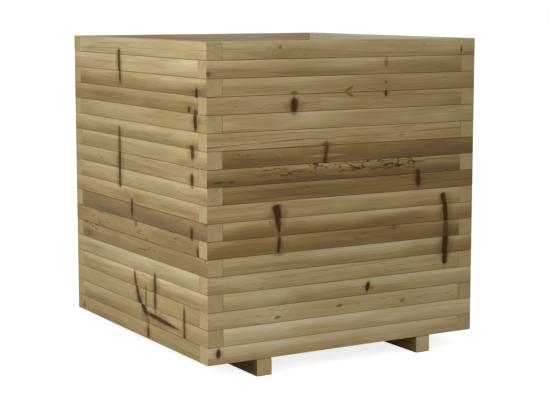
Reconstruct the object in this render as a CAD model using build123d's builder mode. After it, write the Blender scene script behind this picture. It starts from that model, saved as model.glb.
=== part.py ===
"""A square raised garden bed: pine battens stacked in courses with interlocked corners, on two skids.

Millimetres, +Z up. The origin is the middle of the footprint on the ground. The front wall faces -Y.
Courses are counted from the ground up.
"""

import os

from build123d import *

# Walls: square battens, four to a course
side = 800.0
batten = 43.5
batten_ease = 2.5
courses = 18

# Skids: two runners under the walls, from front to back
skid_width = 43.5
skid_height = 43.5
skid_ease = 2.5
skid_inset = 136.0

# Floor: boards laid across the skids, inside the walls
board_width = 95.0
board_thickness = 18.0
board_ease = 2.0
least_board_gap = 5.0
board_end_gap = 2.0

# Countersunk wood screws, drawn with few sides because there are so many
screw_radius = 2.25
screw_head_radius = 4.5
screw_sides = 8
screw_hole_room = 0.25
wall_screw_bite = 26.5
skid_screw_bite = 26.5
floor_screw_bite = 27.0
corner_screw_stagger = 9.0
butt_screw_setback = 35.0

# Sizes that follow from the ones above
half_side = side / 2
inside = side - 2 * batten
batten_length = side - batten
wall_line = half_side - batten / 2
skid_line = half_side - skid_inset - skid_width / 2
walls_bottom = skid_height
board_count = int((inside - least_board_gap) // (board_width + least_board_gap))
board_gap = (inside - board_count * board_width) / (board_count + 1)
board_top = walls_bottom + board_thickness
screw_head_height = screw_head_radius - screw_radius

os.makedirs("parts", exist_ok=True)


def save(part, name):
    """Label a finished piece and write it under its own name."""
    part.label = name
    export_step(part, f"parts/{name}.step")


def screw_form(length, room=0.0):
    """A countersunk screw, the top of its head at the origin; with room around it, the hole for it."""
    with BuildPart() as form:
        with BuildSketch():
            RegularPolygon(screw_radius + room, screw_sides)
        extrude(amount=-length)
        with BuildSketch():
            RegularPolygon(screw_head_radius + room, screw_sides)
        with BuildSketch(Plane.XY.offset(-screw_head_height)):
            RegularPolygon(screw_radius + room, screw_sides)
        loft()
    return form.part


def course_top(course):
    return walls_bottom + course * batten


def lap_side(course):
    """Odd courses lap the left end of the front batten over the corner, even courses the right end."""
    return -1 if course % 2 else 1


def corner_screw_x(course):
    """In the lapped end, off the middle of the corner so that it misses the screws above and below."""
    return lap_side(course) * (wall_line - corner_screw_stagger)


def butt_screw_x(course):
    """Near the end that butts against the next wall's batten."""
    return -lap_side(course) * (half_side - batten - butt_screw_setback)


def front_batten(course):
    """The front batten of a course: one end laps the corner, the other butts one batten short of it."""
    start = -half_side if lap_side(course) < 0 else batten - half_side
    top = course_top(course)
    with BuildPart() as front:
        with BuildSketch(Plane.YZ.offset(start)) as section:
            with Locations((-wall_line, top - batten / 2)):
                Rectangle(batten, batten)
            chamfer(section.vertices(), batten_ease)
        extrude(amount=batten_length)
        if course == courses:
            with Locations(*[(x, -wall_line, top) for x in (corner_screw_x(course), butt_screw_x(course))]):
                add(screw_form(batten, screw_hole_room), mode=Mode.SUBTRACT)
    return front.part


def facing_battens(course, first_turn):
    """Two battens of a course on facing walls, half a turn apart about the middle of the bed."""
    with BuildPart() as pair:
        with PolarLocations(0, 2, first_turn):
            add(front_batten(course))
    return pair.part


for course in range(1, courses + 1):
    save(facing_battens(course, 0), f"course_{course:02d}_front_back_battens")
    save(facing_battens(course, 90), f"course_{course:02d}_left_right_battens")


def skid(x):
    """A runner from front to back, drilled from below under the front and back walls."""
    with BuildPart() as runner:
        with BuildSketch(Plane.XZ.offset(-half_side)) as section:
            with Locations((x, skid_height / 2)):
                Rectangle(skid_width, skid_height)
            chamfer(section.vertices(), skid_ease)
        extrude(amount=side)
        with Locations(*[Plane((x, y, 0), z_dir=(0, 0, -1)) for y in (-wall_line, wall_line)]):
            add(screw_form(skid_height, screw_hole_room), mode=Mode.SUBTRACT)
    return runner.part


save(skid(-skid_line), "left_skid")
save(skid(skid_line), "right_skid")


def board_y(number):
    """The middle of a floor board, counted from the front, with equal gaps for drainage."""
    return (number - 0.5) * board_width + number * board_gap - inside / 2


def floor_board(number):
    """A board across both skids, drilled where it crosses each."""
    with BuildPart() as board:
        with BuildSketch(Plane.YZ.offset(board_end_gap - inside / 2)) as section:
            with Locations((board_y(number), board_top - board_thickness / 2)):
                Rectangle(board_width, board_thickness)
            chamfer(section.vertices(), board_ease)
        extrude(amount=inside - 2 * board_end_gap)
        with Locations(*[(x, board_y(number), board_top) for x in (-skid_line, skid_line)]):
            add(screw_form(board_thickness, screw_hole_room), mode=Mode.SUBTRACT)
    return board.part


board_numbers = range(1, board_count + 1)
for number in board_numbers:
    save(floor_board(number), f"floor_board_{number}")


def screws(length, spots):
    """Screws of one length, each with its head flush at its spot."""
    with BuildPart() as group:
        with Locations(*spots):
            add(screw_form(length), clean=False)
    return group.part


def wall_spots(course, x):
    """The same spot on the battens of all four walls of a course."""
    z = course_top(course)
    return [(x, -wall_line, z), (wall_line, x, z), (-x, wall_line, z), (-wall_line, -x, z)]


wall_screw_length = batten + wall_screw_bite
upper_courses = range(2, courses + 1)
corner_spots = [spot for course in upper_courses for spot in wall_spots(course, corner_screw_x(course))]
save(screws(wall_screw_length, corner_spots), "corner_screws")
butt_spots = [spot for course in upper_courses for spot in wall_spots(course, butt_screw_x(course))]
save(screws(wall_screw_length, butt_spots), "butt_end_screws")

floor_spots = [(x, board_y(number), board_top) for number in board_numbers for x in (-skid_line, skid_line)]
save(screws(board_thickness + floor_screw_bite, floor_spots), "floor_screws")

skid_spots = [
    Plane((x, y, 0), z_dir=(0, 0, -1))
    for x in (-skid_line, skid_line)
    for y in (-wall_line, wall_line)
]
save(screws(skid_height + skid_screw_bite, skid_spots), "skid_screws")
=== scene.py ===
# %% [markdown]
# # A raised garden bed of stacked battens
#
# The bed is 72 square pine battens, four to a course, with corners that lap and butt in turn.
# It stands on two skids and has a boarded floor.
# The CAD part gives every place and size, and this lesson dresses it: real arrises and ends on the
# timber, a wood that is solid all the way through, knots, and screws with a drive.
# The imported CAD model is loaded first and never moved.

import math
import random

import bmesh
import bpy
from mathutils import Matrix, Vector


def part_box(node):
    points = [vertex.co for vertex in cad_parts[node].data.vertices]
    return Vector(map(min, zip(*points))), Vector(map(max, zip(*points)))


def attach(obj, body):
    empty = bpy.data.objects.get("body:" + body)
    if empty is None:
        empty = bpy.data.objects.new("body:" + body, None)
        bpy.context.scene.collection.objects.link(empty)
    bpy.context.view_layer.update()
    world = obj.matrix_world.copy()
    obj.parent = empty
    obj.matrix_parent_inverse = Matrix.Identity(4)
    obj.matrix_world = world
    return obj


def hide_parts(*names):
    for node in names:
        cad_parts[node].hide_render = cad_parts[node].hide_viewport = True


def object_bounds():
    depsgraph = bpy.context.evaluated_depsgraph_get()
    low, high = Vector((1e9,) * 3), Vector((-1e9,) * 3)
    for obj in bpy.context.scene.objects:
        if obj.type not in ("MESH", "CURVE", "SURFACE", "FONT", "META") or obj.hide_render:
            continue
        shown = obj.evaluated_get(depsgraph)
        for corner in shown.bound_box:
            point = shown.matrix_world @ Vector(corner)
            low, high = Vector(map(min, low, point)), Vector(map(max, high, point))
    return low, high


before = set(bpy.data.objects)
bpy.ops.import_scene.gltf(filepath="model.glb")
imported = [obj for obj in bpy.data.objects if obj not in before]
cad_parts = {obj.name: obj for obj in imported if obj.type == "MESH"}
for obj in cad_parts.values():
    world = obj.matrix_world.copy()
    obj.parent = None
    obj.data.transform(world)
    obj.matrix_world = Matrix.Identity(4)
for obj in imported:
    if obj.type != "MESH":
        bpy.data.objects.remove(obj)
cad_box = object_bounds()
print("CAD nodes:", len(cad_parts))
print("CAD box:", [tuple(round(c, 4) for c in corner) for corner in cad_box])

# %% [markdown]
# ## The sizes, read from the CAD
#
# A batten is as deep as it is high, and as long as the side less one batten, because one end laps the
# corner and the other butts against its neighbour.
# The sizes could be typed in again, but then a change to the CAD would leave the looks behind.
# They are measured on the CAD's own boxes.

# %% Measure the stock
WALLS = {"front": 0, "right": 90, "back": 180, "left": 270}
COURSES = sum(name.endswith("_front_back_battens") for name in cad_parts)
low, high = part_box("course_01_front_back_battens")
SIDE = high.y - low.y
BATTEN = high.z - low.z
WALLS_BOTTOM = low.z
HALF_SIDE = SIDE / 2
BATTEN_LENGTH = SIDE - BATTEN
print("courses:", COURSES, "side:", round(SIDE, 4))
print("batten:", round(BATTEN, 4), "long:", round(BATTEN_LENGTH, 4))

# %% [markdown]
# ## Small tools for wiring a material
#
# A wood shader needs many small sums. Placed one node at a time they drown the idea in wiring.
# Here a node's output is wrapped as a signal that knows the plus and the minus, so a sum can be written
# as on paper, and every sign places and wires one node. The other helpers take numbers and signals alike
# and hand back a signal, so that a material reads like a recipe.

# %% Signals
class Signal:
    """A node's output that can stand in a sum: signal * 2 + 1 places two nodes and wires them up."""

    def __init__(self, tree, socket):
        self.tree = tree
        self.socket = socket

    def __add__(self, other):
        return calc(self.tree, "ADD", self, other)

    def __radd__(self, other):
        return calc(self.tree, "ADD", other, self)

    def __sub__(self, other):
        return calc(self.tree, "SUBTRACT", self, other)

    def __rsub__(self, other):
        return calc(self.tree, "SUBTRACT", other, self)

    def __mul__(self, other):
        return calc(self.tree, "MULTIPLY", self, other)

    def __truediv__(self, other):
        return calc(self.tree, "DIVIDE", self, other)

    def __pow__(self, other):
        return calc(self.tree, "POWER", self, other)

    def __abs__(self):
        return calc(self.tree, "ABSOLUTE", self)


def plug(tree, value, socket):
    """Join a signal to a socket, or type a number or a colour into it."""
    if isinstance(value, Signal):
        tree.links.new(value.socket, socket)
    else:
        socket.default_value = value


def add_node(tree, kind, inputs, output=0, **settings):
    """A node with its settings made and its inputs plugged, by name or by number. Hands back one output."""
    node = tree.nodes.new(kind)
    for key, value in settings.items():
        setattr(node, key, value)
    for key, value in inputs.items():
        plug(tree, value, node.inputs[key])
    return Signal(tree, node.outputs[output])


def calc(tree, operation, *terms):
    """One sum on plain numbers."""
    return add_node(tree, "ShaderNodeMath", dict(enumerate(terms)), operation=operation)


def calc_vector(tree, operation, *terms):
    """One sum on places, each with an x, a y and a z."""
    return add_node(tree, "ShaderNodeVectorMath", dict(enumerate(terms)), operation=operation)


# %% [markdown]
# A few more words are needed for this recipe: a soft step, noise that is stretched along the grain, a blend
# of two colours, and what the mesh has written on it.

# %% Wiring helpers
def ease(tree, value, start, end, low=0.0, high=1.0):
    """A soft step from low to high, as value goes from start to end."""
    inputs = {"Value": value, "From Min": start, "From Max": end, "To Min": low, "To Max": high}
    return add_node(tree, "ShaderNodeMapRange", inputs, interpolation_type="SMOOTHSTEP")


def fall(tree, value, start, end):
    """A soft step down from 1 to 0, as value goes from start to end."""
    return ease(tree, value, start, end, 1.0, 0.0)


def noise(tree, place, stretch, detail=2.0, roughness=0.5, output="Fac"):
    """Soft noise, with so many waves to a metre along the batten, through it and up it."""
    scaled = calc_vector(tree, "MULTIPLY", place, stretch)
    inputs = {"Vector": scaled, "Scale": 1.0, "Detail": detail, "Roughness": roughness}
    return add_node(tree, "ShaderNodeTexNoise", inputs, output)


def mix_colours(tree, factor, first, second):
    """Two colours blended by a factor."""
    return add_node(tree, "ShaderNodeMix", {0: factor, 6: first, 7: second}, 2, data_type="RGBA")


def written(tree, name):
    """The three numbers that the mesh has written on it under a name, as one place."""
    return add_node(tree, "ShaderNodeAttribute", {}, "Vector", attribute_name=name)


def parts_of(tree, vector):
    """The x, y and z of a place."""
    parted = add_node(tree, "ShaderNodeSeparateXYZ", {0: vector})
    return [Signal(tree, socket) for socket in parted.socket.node.outputs]


def carried(tree, name):
    """The three numbers that the mesh has written on it under a name, one by one."""
    return parts_of(tree, written(tree, name))


def srgb(red, green, blue):
    """A colour as picture editors give it, 0 to 255, turned to the light that Blender reckons with."""
    def to_light(level):
        level /= 255
        return level / 12.92 if level <= 0.04045 else ((level + 0.055) / 1.055) ** 2.4
    return (to_light(red), to_light(green), to_light(blue), 1.0)


# %% [markdown]
# ## Growth rings through the whole stick
#
# A batten is sawn from a log, so its grain is not painted on: the same rings show as lines along the
# sides and as arcs on the ends.
# Wrapping a flat picture round the stick would break at every arris.
# A solid pattern avoids that. Each mesh carries its own place in the log as an attribute: how far along,
# how deep and how high. The distance from the heart of the log, divided by the width of a ring,
# counts the rings, and noise that is slow along the stick makes them wander.

# %% Rings
# Waves to a metre, detail, and reach in metres: a slow wander first, then a quick tremble
RING_NOISES = [((2.4, 9.0, 9.0), 2.0, 0.014), ((16.0, 60.0, 60.0), 1.0, 0.0018)]
MIDDLE = (0.5, 0.5, 0.5)
LATE_BEGINS, LATE_ENDS = (0.50, 0.93), (0.94, 1.0)
FAINT_YEAR, STRONG_YEAR, YEAR_CONTRAST = 0.06, 1.4, 4.0


def in_the_log(tree):
    """The place in the log: the place in the batten, moved by a shift that no two battens share."""
    return calc_vector(tree, "ADD", written(tree, "place"), written(tree, "shift"))


def growth_rings(tree, push):
    """How much late wood is here, from 0 to 1, and how far inward and upward of the heart this is."""
    log = in_the_log(tree)
    moved = written(tree, "place")
    for waves, detail, reach in RING_NOISES:
        cloud = noise(tree, log, waves, detail=detail, output="Color")
        offset = calc_vector(tree, "SUBTRACT", cloud, MIDDLE)
        moved = calc_vector(tree, "ADD", moved, calc_vector(tree, "MULTIPLY", offset, (0.0, reach, reach)))
    _, depth, height = parts_of(tree, moved)
    along, _, _ = carried(tree, "place")
    heart_depth, heart_height, ring_width = carried(tree, "heart")
    lean_depth, lean_height, _ = carried(tree, "lean")
    inward = along * lean_depth + (depth - heart_depth)
    upward = along * lean_height + (height - heart_height)
    radius = calc(tree, "SQRT", inward * inward + upward * upward)
    rings = radius / ring_width + push
    through = calc(tree, "FRACT", rings)
    late = ease(tree, through, *LATE_BEGINS) * fall(tree, through, *LATE_ENDS)
    shown = ease(tree, noise(tree, log, (3.0, 14.0, 14.0)), 0.38, 0.62, low=0.15)
    year = {"W": calc(tree, "FLOOR", rings)}
    weather = add_node(tree, "ShaderNodeTexWhiteNoise", year, "Value", noise_dimensions="1D")
    strength = weather ** YEAR_CONTRAST * STRONG_YEAR + FAINT_YEAR
    return late * (strength * shown), inward, upward


# %% [markdown]
# ## Knots
#
# A knot is where a branch left the trunk. Sawn across it is an oval, and sawn along it is a long dark
# spike, which the battens of this bed show many of.
# Knots could be cut as inlays, but in a real board they lie flush, so they belong in the material.
# Each one is an oval, set by a place, a tilt and two half sizes that the mesh carries. Where the saw caught
# the branch askew it is a wedge: wider above than below, with a blunt end. Some have a pale lens of wood
# on both sides.
# The rings bend round it, and the wood beside it is stained.

# %% The form of a knot
ROUNDNESS = 2.6
OVAL = (0.0, ROUNDNESS, 0.0)
RAGGED_LEAST, RAGGED_SWING = 0.4, 0.9
LENS_REACH, LENS_HEIGHT, LENS_EDGE = 0.080, 0.0085, 0.35


def turned(tree, aside, above, tilt):
    """A place beside a knot in the knot's own directions: across it, and along its length."""
    turn_cos = calc(tree, "COSINE", tilt)
    turn_sin = calc(tree, "SINE", tilt)
    return aside * turn_cos - above * turn_sin, aside * turn_sin + above * turn_cos


def knot_reach(tree, number, across, upright):
    """How far out a place is, in a knot's half widths and half heights. The edge is ragged, and a wedge is
    wider at its upper end."""
    half_width, half_height, _ = carried(tree, f"knot_{number}_size")
    taper, _, _ = carried(tree, f"knot_{number}_form")
    ragged = noise(tree, in_the_log(tree), (150.0, 90.0, 40.0), detail=3.0) * RAGGED_SWING + RAGGED_LEAST
    tall = upright / half_height
    level = calc(tree, "MAXIMUM", -1.0, calc(tree, "MINIMUM", 1.0, tall))
    wide = across / (half_width * (taper * level + 1.0))
    return abs(wide) * ragged, abs(tall)


def pale_lens(tree, aside, above, paleness):
    """The pale wood on both sides of a knot, in the shape of a flat lens."""
    outward = abs(aside) / LENS_REACH + abs(above) / LENS_HEIGHT
    return fall(tree, outward, LENS_EDGE, 1.0) * paleness


# %% [markdown]
# Four things come of that form: the dark core, the stain that fades out round it, the push that bends the
# rings, and the pale lens.
# Where knots lie close together, the darkest wins and their pushes add up.

# %% One knot, and all of them
CORE_POWER, CORE_EDGE = 1.9, (0.60, 1.20)
STAIN_WIDE, STAIN_TALL, STAIN_EDGE = 0.34, 0.75, (0.25, 1.35)
BEND_WIDE, BEND_EASE, KNOT_BEND = 0.22, 0.007, 0.7


def knot_shape(tree, number):
    """How much of a knot is here: its core, its stain, how far it pushes the rings, and its pale lens."""
    along, _, height = carried(tree, "place")
    knot_along, knot_height, tilt = carried(tree, f"knot_{number}_at")
    _, _, darkness = carried(tree, f"knot_{number}_size")
    _, bluntness, paleness = carried(tree, f"knot_{number}_form")
    aside = along - knot_along
    above = height - knot_height
    across, upright = turned(tree, aside, above, tilt)
    wide, tall = knot_reach(tree, number, across, upright)
    edge = (wide ** CORE_POWER + tall ** bluntness) ** (1 / ROUNDNESS)
    core = fall(tree, edge, *CORE_EDGE) * darkness
    stain = fall(tree, wide * STAIN_WIDE + tall * STAIN_TALL, *STAIN_EDGE) * darkness
    lift = upright / (abs(upright) + BEND_EASE)
    push = fall(tree, wide * BEND_WIDE, 0.0, 1.0) * lift * (darkness * KNOT_BEND)
    return core, stain, push, pale_lens(tree, aside, above, paleness)


def all_knots(tree, count):
    """The darkest core, the deepest stain, the added pushes and the palest lens of so many knots."""
    core, stain, push, lens = 0.0, 0.0, 0.0, 0.0
    for number in range(1, count + 1):
        one_core, one_stain, one_push, one_lens = knot_shape(tree, number)
        core = calc(tree, "MAXIMUM", core, one_core)
        stain = calc(tree, "MAXIMUM", stain, one_stain)
        push = push + one_push
        lens = calc(tree, "MAXIMUM", lens, one_lens)
    return core, stain, push, lens


# %% [markdown]
# ## The colour of green-treated pine
#
# Pressure treatment leaves pine between straw and olive, and no two battens take it alike.
# Choosing one brown and varying its brightness looks like paint. Here a single number, the shade, runs
# from umber to cream through a ramp of real timber colours, and everything that moves that number is
# added up: the batten's own shade, slow blotches, late wood, fibres, knot stains, resin and dirt, and
# painted shade on the lower edge, towards the far end and in the joints, with a painted highlight on top.

# %% Shade and colour
TIMBER_RAMP = [
    (0.00, srgb(58, 41, 23)),
    (0.20, srgb(90, 68, 33)),
    (0.38, srgb(119, 95, 50)),
    (0.52, srgb(143, 121, 77)),
    (0.66, srgb(164, 146, 106)),
    (0.82, srgb(187, 171, 139)),
    (1.00, srgb(208, 196, 171)),
]
GREEN_STAIN = srgb(140, 137, 86)
OCHRE_STAIN = srgb(172, 134, 72)
KNOT_COLOUR = srgb(46, 29, 14)
KNOT_STAIN = srgb(84, 58, 30)
RESIN_COLOUR = srgb(52, 34, 14)
BAND_WAVE = 0.030
# How far past the middle of the wall the painted shade towards the far end begins
FALLOFF_SHADE_BEGINS = 0.05


def timber_ramp(tree, shade):
    """The timber colour of a shade."""
    ramp = add_node(tree, "ShaderNodeValToRGB", {"Fac": shade}, "Color")
    stops = ramp.socket.node.color_ramp.elements
    while len(stops) < len(TIMBER_RAMP):
        stops.new(1.0)
    for stop, (position, colour) in zip(stops, TIMBER_RAMP):
        stop.position = position
        stop.color = colour
    return ramp


def painted_edge_shade(tree):
    """How much painted shade darkens the lower edge and the far end of this batten, less a painted
    highlight on its top.
    """
    along, _, height = carried(tree, "place")
    _, lower, end = carried(tree, "shade")
    wave = noise(tree, in_the_log(tree), (5.0, 30.0, 30.0), detail=3.0)
    wavy = height + (wave - 0.5) * BAND_WAVE
    # Painted shade on the lower part of the face and a painted highlight on its top, as light from above
    # would fall on a rounded face
    painted_low_shade = ease(tree, wavy, BATTEN * 0.30, -BATTEN * 0.42)
    painted_top_light = ease(tree, wavy, BATTEN * 0.10, BATTEN * 0.45)
    # Painted shade that grows towards the far end, where the light falls off
    far = ease(tree, along, FALLOFF_SHADE_BEGINS, HALF_SIDE)
    return (painted_low_shade - painted_top_light * 0.5) * lower + far * end


# %% [markdown]
# ## Dirt and shade in the joints, pitch and resin
#
# Three kinds of dark marks aren't knots: dirt and painted shade in the joints, pockets of pitch that show
# as short dashes, and the curls of resin along one batten of the front wall.
# They could be thin strips laid on the wood, but in real timber they lie in its surface, so each is a
# pattern of noise that is let through only where the mesh asks for it.

# %% Seams, flecks and resin
JOINT = 0.0015
SEAM_INSET = (0.0022, 0.0030)
CURLS, CURL_WIDTH = 4.0, 0.13
RESIN_BEGINS, RESIN_ENDS = 0.05, 0.04


def seams(tree):
    """Dirt and painted shade in the joints, along the edges of a batten's long faces where it touches its
    neighbours.
    """
    _, depth, height = carried(tree, "place")
    lower, upper, _ = carried(tree, "joints")
    below = ease(tree, height, JOINT - BATTEN / 2, JOINT / 4 - BATTEN / 2) * lower
    above = ease(tree, height, BATTEN / 2 - JOINT, BATTEN / 2 - JOINT / 4) * upper
    inset = calc(tree, "MINIMUM", depth, BATTEN - depth)
    patchy = ease(tree, noise(tree, in_the_log(tree), (12.0, 40.0, 40.0)), 0.25, 0.55, low=0.5)
    return calc(tree, "MAXIMUM", below, above) * (fall(tree, inset, *SEAM_INSET) * patchy)


def flecks(tree):
    """Short dark dashes along the grain, where the timber has pockets of pitch."""
    _, _, amount = carried(tree, "joints")
    log = in_the_log(tree)
    dashes = ease(tree, noise(tree, log, (34.0, 120.0, 180.0), detail=1.0), 0.63, 0.70)
    patches = ease(tree, noise(tree, log, (7.0, 30.0, 30.0)), 0.50, 0.62)
    return dashes * patches * amount


def resin_lines(tree):
    """Fine dark curls of resin along the upper half of a batten, between two places that it carries."""
    along, _, height = carried(tree, "place")
    strength, start, end = carried(tree, "resin")
    log = in_the_log(tree)
    swirl = noise(tree, log, (14.0, 36.0, 56.0), detail=2.4, roughness=0.55)
    line = fall(tree, calc(tree, "PINGPONG", swirl * CURLS, 0.5), 0.0, CURL_WIDTH)
    broken = ease(tree, noise(tree, log, (30.0, 60.0, 60.0)), 0.32, 0.46)
    inside = ease(tree, along, start, start + RESIN_BEGINS) * fall(tree, along, end - RESIN_ENDS, end)
    upper = ease(tree, height, -BATTEN * 0.22, BATTEN * 0.05)
    return line * broken * (inside * upper) * strength


# %% [markdown]
# ## One recipe, several finishes
#
# Planed sides, sawn ends and rough floor boards are the same wood cut in different ways.
# Three unrelated materials would drift apart, so one recipe makes them all, and only the amounts change:
# how strongly rings and fibres show, how rough the surface is, and how many knots are worked out.
# Battens with few knots get a material that reckons with few, which renders faster.

# %% The shade
ZONE_DARK, SEAM_DARK, LATE_DARK, STAIN_DARK = 0.06, 0.23, 0.17, 0.10
BLOTCH_SWING, STREAK_SWING, FIBRE_SWING = 0.30, 0.16, 0.10


def wood_shade(tree, late, stain, lens, streak, fibre, ring_show):
    """The shade of a place: the batten's own, and all that makes it paler or darker there."""
    log = in_the_log(tree)
    own_shade, _, _ = carried(tree, "shade")
    figure, _, _ = carried(tree, "figure")
    zone = ease(tree, noise(tree, log, (2.2, 20.0, 34.0), detail=1.5), 0.50, 0.56)
    blotch = noise(tree, log, (4.5, 13.0, 19.0), detail=4.0, roughness=0.55)
    # The seams add dirt and painted shade in the joints
    shade = own_shade - zone * ZONE_DARK - seams(tree) * SEAM_DARK
    for pattern, swing in ((blotch, BLOTCH_SWING), (streak, STREAK_SWING), (fibre, FIBRE_SWING)):
        shade = shade + (pattern - 0.5) * swing
    # Painted shade on the lower edge and towards the far end, and a painted highlight on the top
    shade = shade - late * figure * (LATE_DARK * ring_show) - painted_edge_shade(tree)
    return shade + lens - stain * STAIN_DARK


# %% [markdown]
# The shade becomes a colour through the ramp, and the stains go over it one after another like glazes:
# the brown round a knot, the green of the treatment, the ochre of old resin, the pitch, and the knot.
# Adding them all to the shade instead would darken the wood without changing its hue.

# %% The colour
STAIN_TINT = 0.45
KNOT_GRAIN = 0.6


def wood_colour(tree, shade, stain, core, fibre, pitch):
    """The colour of a shade, with every stain laid over it."""
    log = in_the_log(tree)
    green, ochre, _ = carried(tree, "stain")
    patches = ease(tree, noise(tree, log, (2.0, 7.0, 18.0)), 0.42, 0.66)
    warm = ease(tree, noise(tree, log, (3.0, 9.0, 12.0), detail=3.0), 0.36, 0.60, low=0.3)
    glazes = [
        (stain * STAIN_TINT, KNOT_STAIN),
        (patches * green, GREEN_STAIN),
        (warm * ochre, OCHRE_STAIN),
        (pitch, RESIN_COLOUR),
        (core, mix_colours(tree, fibre * KNOT_GRAIN, KNOT_COLOUR, KNOT_STAIN)),
    ]
    colour = timber_ramp(tree, shade)
    for amount, glaze in glazes:
        colour = mix_colours(tree, amount, colour, glaze)
    return colour


# %% [markdown]
# Gloss and relief finish the surface. Knots and pitch are dull, because a shiny dark spot would mirror the
# white studio and turn grey. Fibres and late wood stand a little proud, as they do on planed pine.

# %% The recipe
PLANED_GLOSS, DULLED = 0.30, 0.85
ROUGHNESS, STREAK_ROUGH, KNOT_ROUGH = 0.54, 0.22, 0.10
LATE_RELIEF, STREAK_RELIEF, KNOT_RELIEF = 0.5, 0.7, 0.6


def new_material(name):
    """A material, its node tree and its shader."""
    material = bpy.data.materials.new(name)
    material.use_nodes = True
    return material, material.node_tree, material.node_tree.nodes["Principled BSDF"]


def emboss(tree, shader, height, strength, reach):
    """Small bumps on a surface, as deep as reach where the strength is 1."""
    bumps = {"Height": height, "Strength": strength, "Distance": reach}
    plug(tree, add_node(tree, "ShaderNodeBump", bumps), shader.inputs["Normal"])


def timber(name, knots, ring_show=1.0, gloss=PLANED_GLOSS, bump=0.35, fibre_waves=(10.0, 520.0, 520.0)):
    """A timber material with so many knots, and rings, gloss, bumps and fibres stronger or weaker."""
    material, tree, shader = new_material(name)
    log = in_the_log(tree)
    core, stain, push, lens = all_knots(tree, knots)
    late, _, _ = growth_rings(tree, push)
    streak = noise(tree, log, (4.0, 70.0, 110.0), detail=3.0, roughness=0.6)
    fibre = noise(tree, log, fibre_waves, roughness=0.6)
    pitch = calc(tree, "MAXIMUM", resin_lines(tree), flecks(tree))
    dull = calc(tree, "MAXIMUM", core, pitch)
    shade = wood_shade(tree, late, stain, lens, streak, fibre, ring_show)
    plug(tree, wood_colour(tree, shade, stain, core, fibre, pitch), shader.inputs["Base Color"])
    plug(tree, streak * STREAK_ROUGH + core * KNOT_ROUGH + ROUGHNESS, shader.inputs["Roughness"])
    plug(tree, dull * (-DULLED * gloss) + gloss, shader.inputs["Specular IOR Level"])
    relief = fibre + late * LATE_RELIEF + streak * STREAK_RELIEF - core * KNOT_RELIEF
    emboss(tree, shader, relief, strength=bump, reach=0.0006)
    return material


planed = {count: timber(f"planed_pine_{count}_knots", count) for count in (0, 2, 5)}
print("materials:", [material.name for material in planed.values()])

# %% [markdown]
# ## Sawn ends
#
# The end of a batten shows its rings as arcs, drinks up more of the treatment, and opens in fine checks
# that run out from the heart as it dries.
# It could share the sides' material, since the pattern is solid, but a saw leaves a duller, closer face.
# It gets a material of its own, with the same rings and fine checks by their angle about the heart.

# %% End grain
END_GLOSS, END_ROUGHNESS, PORE_ROUGH = 0.22, 0.68, 0.16
CHECKS_ROUND = 26.0
DIRT_AND_SHADE_DARK, RING_DARK, CHECK_DARK = 0.24, 0.05, 0.14
END_BLOTCH_SWING, PORE_SWING = 0.14, 0.12
END_GREEN = 0.20
CHECK_RELIEF = 2.0


def drying_checks(tree, inward, upward):
    """Fine cracks that run out from the heart, placed by their angle about it."""
    turns = calc(tree, "ARCTAN2", upward, inward) * CHECKS_ROUND
    inputs = {"W": turns, "Scale": 1.0, "Detail": 2.0}
    rays = add_node(tree, "ShaderNodeTexNoise", inputs, "Fac", noise_dimensions="1D")
    reach = noise(tree, in_the_log(tree), (30.0, 55.0, 55.0))
    return fall(tree, rays, 0.26, 0.31) * ease(tree, reach, 0.50, 0.60)


def end_dirt_and_shade(tree):
    """Dirt and painted shade round a sawn end, where it meets the battens beside, above and below it."""
    _, depth, height = carried(tree, "place")
    lower, upper, _ = carried(tree, "joints")
    beside = ease(tree, depth, BATTEN - 1.4 * JOINT, BATTEN - JOINT / 2)
    above = ease(tree, height, BATTEN / 2 - JOINT, BATTEN / 2 - JOINT / 2) * upper
    below = ease(tree, height, JOINT - BATTEN / 2, JOINT / 2 - BATTEN / 2) * lower
    return calc(tree, "MAXIMUM", beside, calc(tree, "MAXIMUM", above, below))


def end_grain(name):
    """The material of a sawn end."""
    material, tree, shader = new_material(name)
    log = in_the_log(tree)
    late, inward, upward = growth_rings(tree, 0.0)
    check = drying_checks(tree, inward, upward)
    _, end_shade, _ = carried(tree, "figure")
    green, _, _ = carried(tree, "stain")
    pores = noise(tree, log, (200.0, 900.0, 900.0))
    blotch = noise(tree, log, (9.0, 40.0, 40.0), detail=3.0)
    # Dirt and painted shade where the end meets its neighbours
    shade = end_shade - end_dirt_and_shade(tree) * DIRT_AND_SHADE_DARK - late * RING_DARK - check * CHECK_DARK
    shade = shade + (blotch - 0.5) * END_BLOTCH_SWING + (pores - 0.5) * PORE_SWING
    colour = mix_colours(tree, green * END_GREEN, timber_ramp(tree, shade), GREEN_STAIN)
    plug(tree, colour, shader.inputs["Base Color"])
    plug(tree, pores * PORE_ROUGH + END_ROUGHNESS, shader.inputs["Roughness"])
    shader.inputs["Specular IOR Level"].default_value = END_GLOSS
    emboss(tree, shader, pores - check * CHECK_RELIEF, strength=0.4, reach=0.0005)
    return material


sawn_end = end_grain("sawn_end_grain")
print("for the ends:", sawn_end.name)

# %% [markdown]
# ## The shape of a batten
#
# Machine-rounded stock isn't a box: its four long arrises are rounded by a couple of millimetres, its
# faces wander by tenths of a millimetre, and the saw leaves the ends nearly sharp.
# A cube with a bevel modifier gives even, lifeless edges.
# The mesh is swept instead: one rounded outline at each of many stations along the stick, with an arris
# and a face that differ a little from station to station, always inwards so that nothing outgrows the CAD.

# %% Sweep a stick
ARRIS = 0.0017
ARRIS_SPREAD = 0.0003
ARRIS_STEPS = 4
SUPPORT = 0.0010
END_EASE = 0.0006
FACE_DIP = 0.00035
STATION_GAP = 0.028
WAVES, WAVE_RATES = 3, (2, 14)
ANY_TURN = 6.3
SHARP_ANGLE = math.radians(35)


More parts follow.
